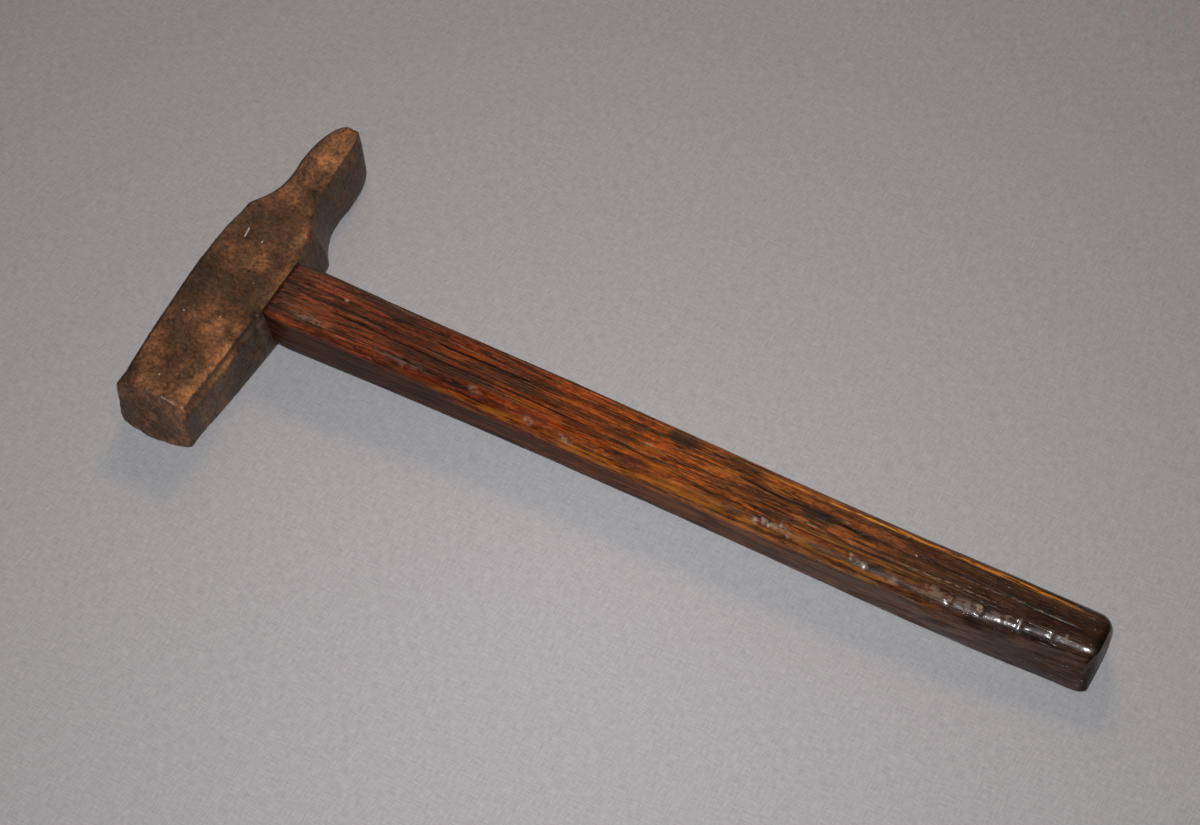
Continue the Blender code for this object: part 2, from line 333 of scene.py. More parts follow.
def face_offset(x, z, half, thick):
    """How far the striking face lies behind its foremost line, at a place on it."""
    across = np.clip(x / half, -1.0, 1.0) ** 2
    low = FACE_BOW * across
    high = FACE_LEAN + FACE_WEAR * (1.0 - across)
    return low + (high - low) * z / thick


def head_sections(solid, places):
    """Far side, near side, underside and top of the head at each place along it."""
    sides = [[solid.probe((0.0, y, PROBE_Z), 0, sign) for y in places] for sign in (1, -1)]
    levels = [[solid.probe((0.0, y, 0.0), 2, sign) for y in places] for sign in (1, -1)]
    return [evened(values, 1) for values in sides + levels]


def near_lean(y):
    """How far the near side leans in at the upper cheek, at a place along the head."""
    return np.interp(y, LEAN_STATIONS, LEAN_AT_TOP)


def upper_edge(solid, y):
    """Where the upper cheek ends on the near side, at each place along the head."""
    stations = np.arange(solid.low[1] + FACE_PROBE, solid.high[1] - 0.5, 1.5)
    near = [solid.probe((0.0, station, PROBE_Z), 0, -1) for station in stations]
    return np.interp(y, stations, near) - near_lean(y)


def head_places(start, end):
    """Where the rings behind the face's edge lie along the head."""
    turn = np.linspace(0.0, math.pi / 2.0, 16)
    crowded = end - PEEN_END * (1.0 - np.sin(turn))
    return np.concatenate((np.arange(start, end - PEEN_END, HEAD_STEP), crowded))


def upper_radii(places):
    """Radii of the upper edges, near and far. The near one is sharper at the eye and the peen."""
    ride = np.column_stack((places, np.zeros((len(places), 2))))
    near = 2.5 + 0.7 * fractal(ride, 15.0, 3, 11)
    near *= 1.0 - 0.65 * ease(places, -16.0, -11.0) * ease(places, 16.0, 11.0)
    near *= 1.0 - 0.55 * ease(places, 36.0, 48.0)
    far = 2.0 + 0.6 * fractal(ride, 12.0, 3, 12)
    return near, far


def head_rings(solid):
    """Rings of the head's skin, from the middle of the striking face to the peen's edge."""
    front = solid.low[1] - FACE_BACK
    start = front + MAX_EDGE + 0.2
    end = solid.high[1]
    places = head_places(start, end)
    probed = np.clip(places, solid.low[1] + FACE_PROBE, end - PEEN_PROBE)
    far, near, under, top = head_sections(solid, probed)
    near_radius, far_radius = upper_radii(places)
    rings = []
    for i, y in enumerate(places):
        radii = (LOWER_EDGE, LOWER_EDGE, near_radius[i], far_radius[i])
        outline = rounded_outline(far[i], near[i], under[i], top[i], radii, HEAD_COUNTS)
        rise = np.clip((outline[:, 1] - LEAN_FROM) / (top[i] - LEAN_FROM), 0.0, 1.0) ** 1.2
        outline[:, 0] -= near_lean(y) * rise * np.clip(outline[:, 0] / near[i], 0.0, 1.0)
        slope = max(0.0, 1.0 - (y - start) / FACE_BLEND)
        offset = face_offset(outline[:, 0], outline[:, 1], near[0], top[0])
        rings.append(np.column_stack((outline[:, 0], y + slope * offset, outline[:, 1])))
    return np.array(face_rings(rings[0][:, (0, 2)], near[0], top[0], front) + rings)


def face_rings(edge, half, thick, front):
    """Rings over the striking face and round its worn edge."""
    turn = np.roll(edge, -1, axis=0) - np.roll(edge, 1, axis=0)
    inward = np.column_stack((-turn[:, 1], turn[:, 0]))
    inward /= np.linalg.norm(inward, axis=1)[:, None]
    radius = 1.15 + 0.9 * fractal(np.column_stack((edge, edge[:, 0])), 5.0, 3, 21)
    radius = np.clip(radius, 0.5, MAX_EDGE)[:, None]
    middle = np.array((0.0, thick / 2.0))
    inner = edge + inward * radius
    rings = []
    for scale in np.linspace(0.03, 1.0, 27):
        spot = middle + (inner - middle) * scale
        y = front + face_offset(spot[:, 0], spot[:, 1], half, thick)
        rings.append(np.column_stack((spot[:, 0], y, spot[:, 1])))
    for angle in np.radians(np.linspace(15.0, 90.0, 6)):
        spot = edge + inward * radius * (1.0 - math.sin(angle))
        y = front + face_offset(spot[:, 0], spot[:, 1], half, thick)
        y += radius[:, 0] * (1.0 - math.cos(angle))
        rings.append(np.column_stack((spot[:, 0], y, spot[:, 1])))
    return rings


def head_forging(spots, solid):
    """Depth of the hammered and worn surface of the head, before pits and dents."""
    thick = solid.high[2]
    depth = 0.12 + 0.26 * fractal(spots, 15.0, 2, 31)
    depth += 0.10 * np.abs(fractal(spots, 4.5, 3, 33))
    depth += 0.06 * fractal(spots, 0.9, 2, 37)
    edge = upper_edge(solid, spots[:, 1])
    bevel = np.interp(spots[:, 1], BEVEL_STATIONS, BEVEL_DEPTHS)
    fall = np.clip((spots[:, 0] - edge + BEVEL_WIDTH) / BEVEL_WIDTH, 0.0, 1.3)
    depth += bevel * fall * ease(spots[:, 2], thick - 4.5, thick - 2.0)
    recess = ease(spots[:, 1], -34.0, -22.0) * ease(spots[:, 1], -12.4, -15.5)
    recess *= ease(spots[:, 0], edge - 1.0, edge + 0.8) * ease(spots[:, 2], 3.0, 9.0)
    return depth + RECESS_DEPTH * recess


def dent_head(depth, spots, solid):
    """Add pits, wide dents and the striking face's dents to a depth. Returns the pits."""
    draw = np.random.default_rng(5)
    pits = (spots[draw.integers(0, len(spots), 1100)], draw.uniform(0.3, 0.9, 1100))
    dents = (spots[draw.integers(0, len(spots), 80)], draw.uniform(1.5, 4.0, 80))
    striking = np.nonzero(spots[:, 1] < solid.low[1] + 5.0)[0]
    striking = striking[spots[striking, 2] > 4.0]
    blows = (spots[draw.choice(striking, 60)], draw.uniform(0.8, 2.2, 60))
    for (centres, radii), deepest in ((pits, PIT_DEPTH), (dents, DENT_DEPTH), (blows, BLOW_DEPTH)):
        shares = draw.uniform(0.3, 1.0, len(radii))
        for (inside, shape), share in zip(hollows(spots, centres, radii), shares):
            depth[inside] += deepest * share * shape
    return pits


def head_layers(spots, normals, solid, pits):
    """What the steel material reads at each vertex of the head."""
    pitted = np.zeros(len(spots))
    for inside, shape in hollows(spots, *pits):
        pitted[inside] = np.maximum(pitted[inside], shape)
    nicks = np.max(nick_marks(spots, solid), axis=0)
    turned = np.sort(np.abs(normals), axis=1)[:, 1]
    edge = ease(turned, 0.25, 0.6) * (0.6 + 0.4 * fractal(spots, 3.0, 3, 41))
    far_side = ease(-normals[:, 0], 0.10, 0.5)
    near_side = ease(normals[:, 0], 0.5, 0.85)
    face = ease(-normals[:, 1], 0.6, 0.9)
    # Painted shade by facing: the far side and the near side are darkened, the near side most towards the
    # poll and at the neck, and the striking face is lightened.
    neck = ease(spots[:, 1], 12.0, 20.0) * ease(spots[:, 1], 46.0, 38.0)
    near_side_shade = 0.6 + 0.6 * ease(spots[:, 1], 0.0, -14.0) + 0.5 * neck
    dark = 1.3 * far_side + near_side_shade * near_side - 0.5 * face
    return {
        "pit": pitted,
        "bright": np.maximum(nicks, worn_face_edge(spots, normals, solid)),
        "edge": edge * ease(spots[:, 0], -9.0, -5.0),
        "tone_and_facing_shade": tones(spots) - dark,
        # painted shade: greys the near side and the striking face by their facing
        "flank": np.maximum(near_side, 0.6 * face),
    }


def make_head():
    """The forged head, with its eye and the seat for the handle's shoulder."""
    solid = Solid("hammer_head")
    made = skin("head_forging", head_rings(solid))
    spots = spots_of(made)
    depth = head_forging(spots, solid)
    pits = dent_head(depth, spots, solid)
    for mark in nick_marks(spots, solid):
        depth += NICK_DEPTH * mark
    press_in(made, depth)
    cut_away(made, [eye_tool(solid), seat_tool(solid)])
    store(made, **head_layers(spots_of(made), normals_of(made), solid, pits))
    hand_over(made, "hammer_head", steel_material())


def tones(spots):
    """Lighter, tan places as positive numbers and darker ones as negative, on the whole head."""
    drift = 3.0 * fractal(spots, 9.0, 3, 51)
    total = np.zeros(len(spots))
    for x, y, half_x, half_y, strength in CHEEK_TONES:
        away = np.hypot((spots[:, 0] + drift - x) / half_x, (spots[:, 1] - 1.3 * drift - y) / half_y)
        total += strength * ease(away, 1.3, 0.3)
    return total


def worn_face_edge(spots, normals, solid):
    """Bare steel along the near half of the striking face's upper edge, from 0 to 1."""
    ridge = ease(normals @ np.array((0.0, -0.707, 0.707)), 0.95, 0.995)
    reach = ease(spots[:, 1], solid.low[1] + 8.0, solid.low[1] + 6.5) * ease(spots[:, 2], 13.0, 15.0)
    span = ease(spots[:, 0], 0.0, 3.0) * ease(spots[:, 0], 11.5, 9.5)
    return 0.55 * ridge * reach * span * ease(fractal(spots, 1.6, 3, 57), -0.35, 0.1)


def nick_marks(spots, solid):
    """Where each bright nick marks the upper cheek."""
    level = solid.high[2] - 0.2
    marks = []
    for x, y, length, direction in BRIGHT_NICKS:
        turn = math.radians(direction)
        end = (x + length * math.cos(turn), y + length * math.sin(turn), level)
        marks.append(line_mark(spots, (x, y, level), end, NICK_WIDTH))
    return marks


def eye_outline(middle, wider, counts):
    """The eye's outline in y and z round its middle height, wider all round by a margin."""
    half_y = EYE_HALF_Y + wider
    half_z = EYE_HALF_Z + wider
    return rounded_outline(-half_y, half_y, middle - half_z, middle + half_z, [EYE_RADIUS] * 4, counts)


def eye_tool(solid):
    """What is cut away for the eye, with an eased far mouth."""
    mouth = solid.low[0]
    stops = ((mouth - 3.0, EYE_MOUTH + EYE_LIP), (mouth + 0.7, EYE_MOUTH + 0.05), (SEAT_X + 2.0, 0.0))
    middle = solid.high[2] / 2.0
    return skin("eye_tool", np.array([ring_at(x, eye_outline(middle, wider, [5] * 5)) for x, wider in stops]))


def seat_tool(solid):
    """What is cut away for the seat of the handle's shoulder, open at the top."""
    handle = Solid("handle")
    beyond = SHOULDER_X + 3.0
    near_y = handle.probe((beyond, 0.0, solid.high[2] / 2.0), 1, 1) - SEAT_CLEAR
    far_y = handle.probe((beyond, 0.0, solid.high[2] / 2.0), 1, -1) + SEAT_CLEAR
    under = handle.probe((beyond, 0.0, 0.0), 2, 1) - SEAT_CLEAR
    above = solid.high[2] + 9.0
    outline = rounded_outline(near_y, far_y, under, above, [SEAT_RADIUS] * 4, [5] * 5)
    return skin("seat_tool", np.array([ring_at(SEAT_X + past, outline) for past in (0.0, 9.0, 20.0)]))


# ------------------------------ handle

HANDLE_COUNTS = (42, 38, 92, 42, 9)           # steps along the bottom, far, top and near sides, and a corner
BUTT_LENGTH = 5.0
BUTT_FAR = 4.2                # how far the butt's far side is drawn in by its rounding
BUTT_NEAR = 1.8               # the same on the near side
BUTT_LEVEL = 1.3              # the same above and below
FINE_FROM = 176.0             # the rings are closer together from here to the butt
SHOULDER_INSET = 0.3          # the edge round the shoulder is drawn in by this
LOWER_RADII = (1.4, 1.8)      # of the lower edges, near and far
NEAR_RADII = (                # x and radius of the upper near edge, which is worn round by the hand
    (12, 1), (40, 1.6), (80, 4.6), (150, 5), (215, 5.2), (245, 6.4), (286, 6.8),
)
FAR_RADII = ((12, 0.9), (60, 1.3), (110, 2), (180, 3.6), (286, 4))
TENON_CLEAR = 0.14            # between the tenon and the eye
TENON_RISE = 0.2              # the tenon sits this far above the middle of the head
BUTT_BEVEL = 4.2              # how far the grip's near upper part slopes away at the butt
CRACK_DEPTH = 0.45
CRACK_WIDTH = 0.40
DING_STRETCH = (0.55, 1.3, 1.3)
DING_LEVELS = ((20.0, 276.0), (17.8, 14.6))   # x, and the height of the upper face there
RING_WIDTH = 2.3              # between two growth rings
TREE_MIDDLE = (-34.0, 46.0)   # y and z of the middle of the tree that the blank was split from

DINGS = (                     # x, y, radius, depth: knocks in the upper face, short along the grain
    (241, -6.4, 2.2, 0.40), (250.5, -5.4, 2.4, 0.50), (257, -5, 1.5, 0.25), (262.5, -5, 2.2, 0.35),
    (272, -4, 2, 0.20), (184, -7.4, 1.8, 0.35), (188.5, -6.8, 1.3, 0.3), (180, -8, 1.2, 0.25),
    (215, -7.8, 2, 0.2), (103, -8.4, 1.6, 0.3), (110, -8.3, 1.2, 0.25), (33, 4.8, 0.7, 0.2),
    (205, 8.6, 1.2, 0.25), (232, 8.2, 1, 0.25), (126, -8, 1.6, 0.3), (60, -8.4, 1.2, 0.25),
    (221, 8, 1.1, 0.2), (243, 8, 1.3, 0.2), (212, 8.3, 0.9, 0.2), (266, -6.6, 1.4, 0.12),
)
CRACKS = (                    # x and y of the start and end of long open checks in the upper face
    (30, -0.6, 124, -1.8), (128, -8, 176, -8.6), (66, 4.6, 97, 4.2), (168, 3, 214, 1.6),
    (200, -3, 262, -3.9), (54, -6, 83, -6.5), (226, 2.2, 280, 1.4),
)
STAINS = (                    # x, y, half length, half width, strength: dark patches
    (148, 7.6, 7.5, 3.4, 1), (195, 1.2, 7.5, 2.6, 1), (215, -7.4, 7.5, 1.9, 1),
    (132, -3, 6, 1.6, 0.55), (172, 0.5, 10, 1.8, 0.6), (92, 2, 16, 2.6, 0.5),
    (70, -3, 24, 3.2, 0.55), (15, 0, 4.5, 9, 0.55), (46, 8.5, 18, 2.6, 0.6),
)
SCUFFS = (                    # x, y, half length, half width, strength: pale worn marks
    (185, -7.2, 5, 1, 0.55), (179, -8.6, 0.9, 0.7, 1), (187, -6.6, 0.5, 1.6, 0.9),
    (190, -8, 0.9, 0.7, 0.9), (181.5, -7.4, 1.2, 0.9, 0.9), (209.6, -6.5, 0.7, 1, 1),
    (213, -7.6, 3.5, 0.8, 0.6), (223.5, -8, 2, 0.7, 0.5), (241, -6.6, 0.5, 2.2, 0.8),
    (236, -6.2, 4, 1.6, 0.35), (246, -5.8, 4, 1.5, 0.35), (250, -5.6, 1.4, 1.2, 1),
    (256, -5.4, 3.5, 1.3, 0.3), (257.5, -4.4, 2.4, 0.35, 0.9), (262.5, -4.8, 0.5, 2.3, 0.8),
    (276, -3.8, 0.5, 1.6, 0.6), (103, -8.2, 2.2, 1, 0.5), (116, -8.4, 3, 0.6, 0.5),
    (27, -6.6, 8, 1.6, 0.3), (33, 4.8, 0.8, 0.6, 1), (60, -7, 12, 1.2, 0.25),
    (194, -2.4, 7, 0.4, 0.4), (204, 3.4, 2, 0.4, 0.5), (256, 1.6, 20, 0.28, 0.45),
    (240, -2, 22, 0.28, 0.5), (84, -6, 3, 1.2, 0.35), (140, 1, 2, 0.6, 0.4),
)


def growth(spots):
    """Distance from the middle of the tree in millimetres, wandering a little along the handle."""
    distance = np.hypot(spots[:, 1] - TREE_MIDDLE[0], spots[:, 2] - TREE_MIDDLE[1])
    return distance + 1.0 * fractal(spots, (70.0, 14.0, 14.0), 3, 61) + 0.02 * spots[:, 0]


def grain_grooves(spots):
    """How far each spot lies in an open pore of the early wood, from 0 to 1."""
    phase = (growth(spots) / RING_WIDTH) % 1.0
    early = ease(phase, 0.0, 0.08) * ease(phase, 0.5, 0.16)
    streak = smooth_noise(spots / np.array((22.0, 0.5, 0.5)), 65)
    fine = smooth_noise(spots / np.array((9.0, 0.42, 0.42)) + 40.0, 66)
    return np.maximum(ease(streak, -0.05, 0.35) * early, 0.55 * ease(fine, 0.45, 0.7))


def grip_sections(solid, places):
    """Near side, far side, underside and top of the grip at each place along it."""
    height = solid.high[2] / 2.0
    sides = [[solid.probe((x, 0.0, height), 1, sign) for x in places] for sign in (1, -1)]
    levels = [[solid.probe((x, 1.0, 0.0), 2, sign) for x in places] for sign in (1, -1)]
    return [evened(values, 2) for values in sides + levels]


def handle_rings(solid):
    """Rings of the handle's skin, from the end of the tenon to the butt."""
    end = solid.high[0]
    turn = np.linspace(0.0, math.pi / 2.0, 14)
    butt = end - BUTT_LENGTH * (1.0 - np.sin(turn))
    grip = np.concatenate((np.arange(SHOULDER_X, FINE_FROM, 1.0), np.arange(FINE_FROM, butt[0], 0.6)))
    places = np.concatenate((grip, butt))
    drawn = np.concatenate((np.zeros(len(grip)), 1.0 - np.cos(turn)))
    sections = grip_sections(solid, np.clip(places, SHOULDER_X + 1.5, butt[0] - 4.0))
    near_radius = np.interp(places, *zip(*NEAR_RADII))
    far_radius = np.interp(places, *zip(*FAR_RADII))
    rings = tenon_rings(solid)
    for i, x in enumerate(places):
        near, far, under, top = (values[i] for values in sections)
        inset = SHOULDER_INSET * float(ease(x, SHOULDER_X + 1.2, SHOULDER_X))
        level = inset + BUTT_LEVEL * drawn[i]
        low_y = near + inset + BUTT_NEAR * drawn[i]
        high_y = far - inset - BUTT_FAR * drawn[i]
        radii = (*LOWER_RADII, far_radius[i], near_radius[i])
        outline = rounded_outline(low_y, high_y, under + level, top - level, radii, HANDLE_COUNTS)
        rings.append(ring_at(x, outline))
    last = rings[-1]
    rings += [last.mean(0) + (last - last.mean(0)) * scale for scale in (0.86, 0.7, 0.5, 0.3, 0.12)]
    return np.array(rings)


def tenon_rings(solid):
    """Rings over the end grain of the tenon and along it to the shoulder."""
    middle = solid.high[2] / 2.0 + TENON_RISE
    rings = []
    for x in (solid.low[0], solid.low[0] + 0.5, -8.0, 0.0, SHOULDER_X):
        widened = EYE_MOUTH * (SHOULDER_X - x) / (SHOULDER_X - solid.low[0])
        rings.append(ring_at(x, eye_outline(middle, widened - TENON_CLEAR, HANDLE_COUNTS)))
    end = rings[0]
    caps = [end.mean(0) + (end - end.mean(0)) * scale for scale in (0.1, 0.28, 0.46, 0.64, 0.82, 0.95)]
    return caps + rings


def patches(spots, entries, level):
    """How strongly soft elongated patches in the upper face cover each spot, from 0 to 1."""
    total = np.zeros(len(spots))
    drift = np.column_stack((fractal(spots, 6.0, 3, 81), fractal(spots, 3.0, 3, 82), 0.0 * spots[:, 0]))
    shifted = spots + 0.8 * drift
    for x, y, half_x, half_y, strength in entries:
        away = np.hypot((shifted[:, 0] - x) / half_x, (shifted[:, 1] - y) / half_y)
        total = np.maximum(total, strength * ease(away, 1.15, 0.45))
    return total * ease(spots[:, 2], level - 8.5, level - 4.5)


def crack_marks(spots, level):
    """How far each spot lies in an open check, from 0 to 1."""
    wander = spots.copy()
    wander[:, 1] += 0.5 * smooth_noise(spots / np.array((14.0, 90.0, 90.0)), 91)
    wander[:, 2] = 0.0
    total = np.zeros(len(spots))
    for x, y, end_x, end_y in CRACKS:
        total = np.maximum(total, line_mark(wander, (x, y, 0.0), (end_x, end_y, 0.0), CRACK_WIDTH))
    return total * ease(spots[:, 2], level - 4.0, level - 2.0)


def handle_wear(spots, level):
    """Depth of the grain, checks, knocks and the worn near side of the handle."""
    depth = 0.10 + 0.20 * fractal(spots, (38.0, 9.0, 9.0), 2, 71)
    depth += 0.10 * grain_grooves(spots) + 0.04 * fractal(spots, (4.0, 0.9, 0.9), 2, 75)
    depth += CRACK_DEPTH * crack_marks(spots, level)
    fall = np.clip((-2.0 - spots[:, 1]) / 8.0, 0.0, 1.2) ** 1.3
    depth += BUTT_BEVEL * ease(spots[:, 0], 238.0, 294.0) * fall * ease(spots[:, 2], 1.5, 12.0)
    centres = np.array([(x, y, np.interp(x, *DING_LEVELS)) for x, y, _, _ in DINGS])
    radii = [ding[2] for ding in DINGS]
    for (inside, shape), ding in zip(hollows(spots, centres, radii, DING_STRETCH), DINGS):
        depth[inside] += ding[3] * shape
    return depth * ease(spots[:, 0], SHOULDER_X - 1.0, SHOULDER_X + 2.0)


def make_handle():
    """The hardwood handle, with its tenon slotted for the two wedges."""
    solid = Solid("handle")
    made = skin("handle_wood", handle_rings(solid))
    level = solid.high[2]
    press_in(made, handle_wear(spots_of(made), level))
    cut_away(made, [grown_copy("wooden_wedge", 0.1), grown_copy("steel_wedge", 0.1)])
    spots = spots_of(made)
    store(made, ring=growth(spots), groove=grain_grooves(spots), crack=crack_marks(spots, level),
          stain=patches(spots, STAINS, level), scuff=patches(spots, SCUFFS, level))
    hand_over(made, "handle", handle_material())


# ------------------------------ wedges

def refined(node, name, step):
    """A CAD node's shape as a fine even mesh."""
    made = bpy.data.objects.new(name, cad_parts[node].data.copy())
    bpy.context.scene.collection.objects.link(made)
    remesh = made.modifiers.new("fine", "REMESH")
    remesh.mode = "VOXEL"
    remesh.voxel_size = step * MM
    made.data = evaluated_mesh(made)
    made.modifiers.clear()
    return made


def make_wooden_wedge():
    """The wedge that spreads the tenon. It is marked as grooved all over, which darkens it."""
    made = refined("wooden_wedge", "wooden_wedge_end", 0.22)
    spots = spots_of(made)
    press_in(made, 0.05 + 0.10 * np.abs(fractal(spots, (3.0, 0.6, 0.5), 3, 101)))
    spots = spots_of(made)
    rings = 0.8 * spots[:, 2] + 0.3 * fractal(spots, 6.0, 2, 103)
    none = np.zeros(len(spots))
    store(made, ring=rings, groove=none + 1.0, crack=none, stain=none, scuff=none)
    hand_over(made, "wooden_wedge", handle_material())


def make_steel_wedge():
    """The iron wedge driven across the wooden one, with a beaten end."""
    made = refined("steel_wedge", "steel_wedge_end", 0.16)
    spots = spots_of(made)
    press_in(made, 0.03 + 0.12 * np.abs(fractal(spots, 1.6, 3, 111)))
    pitted = np.clip(fractal(spots, 1.0, 2, 115), 0.0, 1.0)
    beaten = ease(spots[:, 0], -13.5, -15.3) * (0.5 + 0.5 * fractal(spots, 1.2, 2, 113))
    none = np.zeros(len(spots))
    store(made, pit=pitted, bright=none, edge=beaten, flank=none)
    hand_over(made, "steel_wedge", steel_material())


# ------------------------------ materials

PATINA = (                    # place on the mottling's scale, and colour
    (0.37, (0.034, 0.017, 0.009)), (0.45, (0.084, 0.033, 0.014)),
    (0.53, (0.160, 0.062, 0.025)), (0.68, (0.46, 0.190, 0.074)),
)
OLIVE_RUST = (0.090, 0.058, 0.030)
# grey-brown laid on the head's near side and striking face: painted shade
GREY_FACING_SHADE = (0.080, 0.055, 0.038)
SOOT = (0.026, 0.015, 0.009)
PIT_RUST = (0.014, 0.009, 0.006)
WORN_STEEL = (0.30, 0.18, 0.11)
BARE_STEEL = (0.72, 0.70, 0.68)

UPPER_WOOD = (                # how far along the handle, from 0 to 1, and colour
    (0.05, (0.200, 0.046, 0.017)), (0.14, (0.200, 0.036, 0.010)), (0.22, (0.118, 0.015, 0.003)),
    (0.36, (0.235, 0.037, 0.004)), (0.5, (0.29, 0.056, 0.005)), (0.64, (0.27, 0.066, 0.011)),
    (0.78, (0.145, 0.044, 0.013)), (0.88, (0.046, 0.017, 0.008)),
)
SIDE_SHADE_WOOD = (                 # the same for the near and far sides, darkened as painted shade
    (0.05, (0.040, 0.014, 0.006)), (0.3, (0.060, 0.022, 0.009)), (0.6, (0.085, 0.030, 0.010)),
    (0.78, (0.090, 0.031, 0.009)), (0.92, (0.054, 0.025, 0.015)),
)
GOLDEN = (1.5, 2.1, 1.6)      # what golden streaks multiply the colour round them by
EARLY_WOOD = (0.034, 0.008, 0.003)
PORE = (0.008, 0.003, 0.002)
CHECK = (0.010, 0.004, 0.002)
GROOVE = (0.012, 0.005, 0.003)
CRACK = (0.005, 0.003, 0.002)
STAIN = (0.014, 0.011, 0.009)
GRIME = (0.036, 0.015, 0.008)
SCUFF = (0.50, 0.37, 0.28)
# painted light on the rounded upper part of the handle's near side
LIT_GOLD_BAND = (0.40, 0.135, 0.012)
# painted glints of the warm lamp along the handle's far upper edge
AMBER_GLINT = (0.78, 0.27, 0.027)
END_GRAIN = (0.072, 0.043, 0.025)
WEDGE_GRAIN = (0.030, 0.016, 0.009)


class Tree:
    """A short way to write a material's nodes."""

    def __init__(self, name):
        self.material = bpy.data.materials.new(name)
        self.material.use_nodes = True
        self.nodes = self.material.node_tree.nodes
        self.links = self.material.node_tree.links
        self.shader = self.nodes["Principled BSDF"]
        self.place = self.nodes.new("ShaderNodeTexCoord").outputs["Object"]

    def feed(self, socket, value):
        """Link a socket to another, or give it a value."""
        if isinstance(value, bpy.types.NodeSocket):
            self.links.new(value, socket)
        elif isinstance(value, tuple) and socket.type == "RGBA":
            socket.default_value = (*value, 1.0)
        else:
            socket.default_value = value

    def noise(self, cells, detail=4.0, rough=0.55, warp=0.0, shift=0.0):
        """Noise from about 0.25 to 0.75, with cells of this size in metres: one number or three."""
        sizes = cells if isinstance(cells, tuple) else (cells,) * 3
        mapping = self.nodes.new("ShaderNodeMapping")
        self.links.new(self.place, mapping.inputs["Vector"])
        mapping.inputs["Scale"].default_value = tuple(1.0 / size for size in sizes)
        node = self.nodes.new("ShaderNodeTexNoise")
        node.noise_dimensions = "4D"
        self.links.new(mapping.outputs["Vector"], node.inputs["Vector"])
        settings = {"W": shift, "Scale": 1.0, "Detail": detail, "Roughness": rough, "Distortion": warp}
        for label, value in settings.items():
            node.inputs[label].default_value = value
        return node.outputs["Fac"]

    def grain_line(self, shift, long, wide):
        """Thin dark lines that wander along the grain, from 0 to 1."""
        drift = self.noise((long, wide, wide), detail=2.0, shift=shift)
        return self.span(self.math("ABSOLUTE", self.math("SUBTRACT", drift, 0.5)), 0.016, 0.007)

    def stored(self, name):
        """A number kept per vertex."""
        node = self.nodes.new("ShaderNodeAttribute")
        node.attribute_name = name
        return node.outputs["Fac"]

    def axis(self, letter):
        """One of the object coordinates, in metres."""
        node = self.nodes.new("ShaderNodeSeparateXYZ")
        self.links.new(self.place, node.inputs[0])
        return node.outputs[letter]

    def math(self, kind, first, second=0.0):
        """The result of one sum on two numbers."""
        node = self.nodes.new("ShaderNodeMath")
        node.operation = kind
        self.feed(node.inputs[0], first)
        self.feed(node.inputs[1], second)
        return node.outputs[0]

    def times(self, *values):
        """The product of all the numbers."""
        total = values[0]
        for value in values[1:]:
            total = self.math("MULTIPLY", total, value)
        return total

    def span(self, value, low, high, to_low=0.0, to_high=1.0):
        """Map low..high smoothly to to_low..to_high."""
        node = self.nodes.new("ShaderNodeMapRange")
        node.interpolation_type = "SMOOTHSTEP"
        self.feed(node.inputs["Value"], value)
        if high < low:
            low, high, to_low, to_high = high, low, to_high, to_low
        limits = {"From Min": low, "From Max": high, "To Min": to_low, "To Max": to_high}
        for label, number in limits.items():
            node.inputs[label].default_value = number
        return node.outputs["Result"]

    def ramp(self, value, *stops):
        """A colour ramp through (place, colour) stops."""
        node = self.nodes.new("ShaderNodeValToRGB")
        self.feed(node.inputs["Fac"], value)
        elements = node.color_ramp.elements
        while len(elements) < len(stops):
            elements.new(0.5)
        for element, (where, colour) in zip(elements, stops):
            element.position = where
            element.color = (*colour, 1.0)
        return node.outputs["Color"]

    def mix(self, factor, first, second, kind="MIX"):
        """Blend two colours."""
        node = self.nodes.new("ShaderNodeMix")
        node.data_type = "RGBA"
        node.blend_type = kind
        factor_socket, first_socket, second_socket = (node.inputs[index] for index in (0, 6, 7))
        self.feed(factor_socket, factor)
        self.feed(first_socket, first)
        self.feed(second_socket, second)
        return node.outputs[2]

    def shade(self, colour, value):
        """Multiply a colour by a number."""
        grey = self.nodes.new("ShaderNodeCombineColor")
        for socket in grey.inputs:
            self.feed(socket, value)
        return self.mix(1.0, colour, grey.outputs["Color"], "MULTIPLY")

    def bump(self, height, distance, strength):
        """A normal tilted by a height, whose full range is a distance in metres."""
        node = self.nodes.new("ShaderNodeBump")
        node.inputs["Strength"].default_value = strength
        node.inputs["Distance"].default_value = distance
        self.feed(node.inputs["Height"], height)
        return node.outputs["Normal"]

    def finish(self, **values):
        """Set the shader's sockets, and return the material."""
        for label, value in values.items():
            self.feed(self.shader.inputs[label.replace("_", " ")], value)
        return self.material


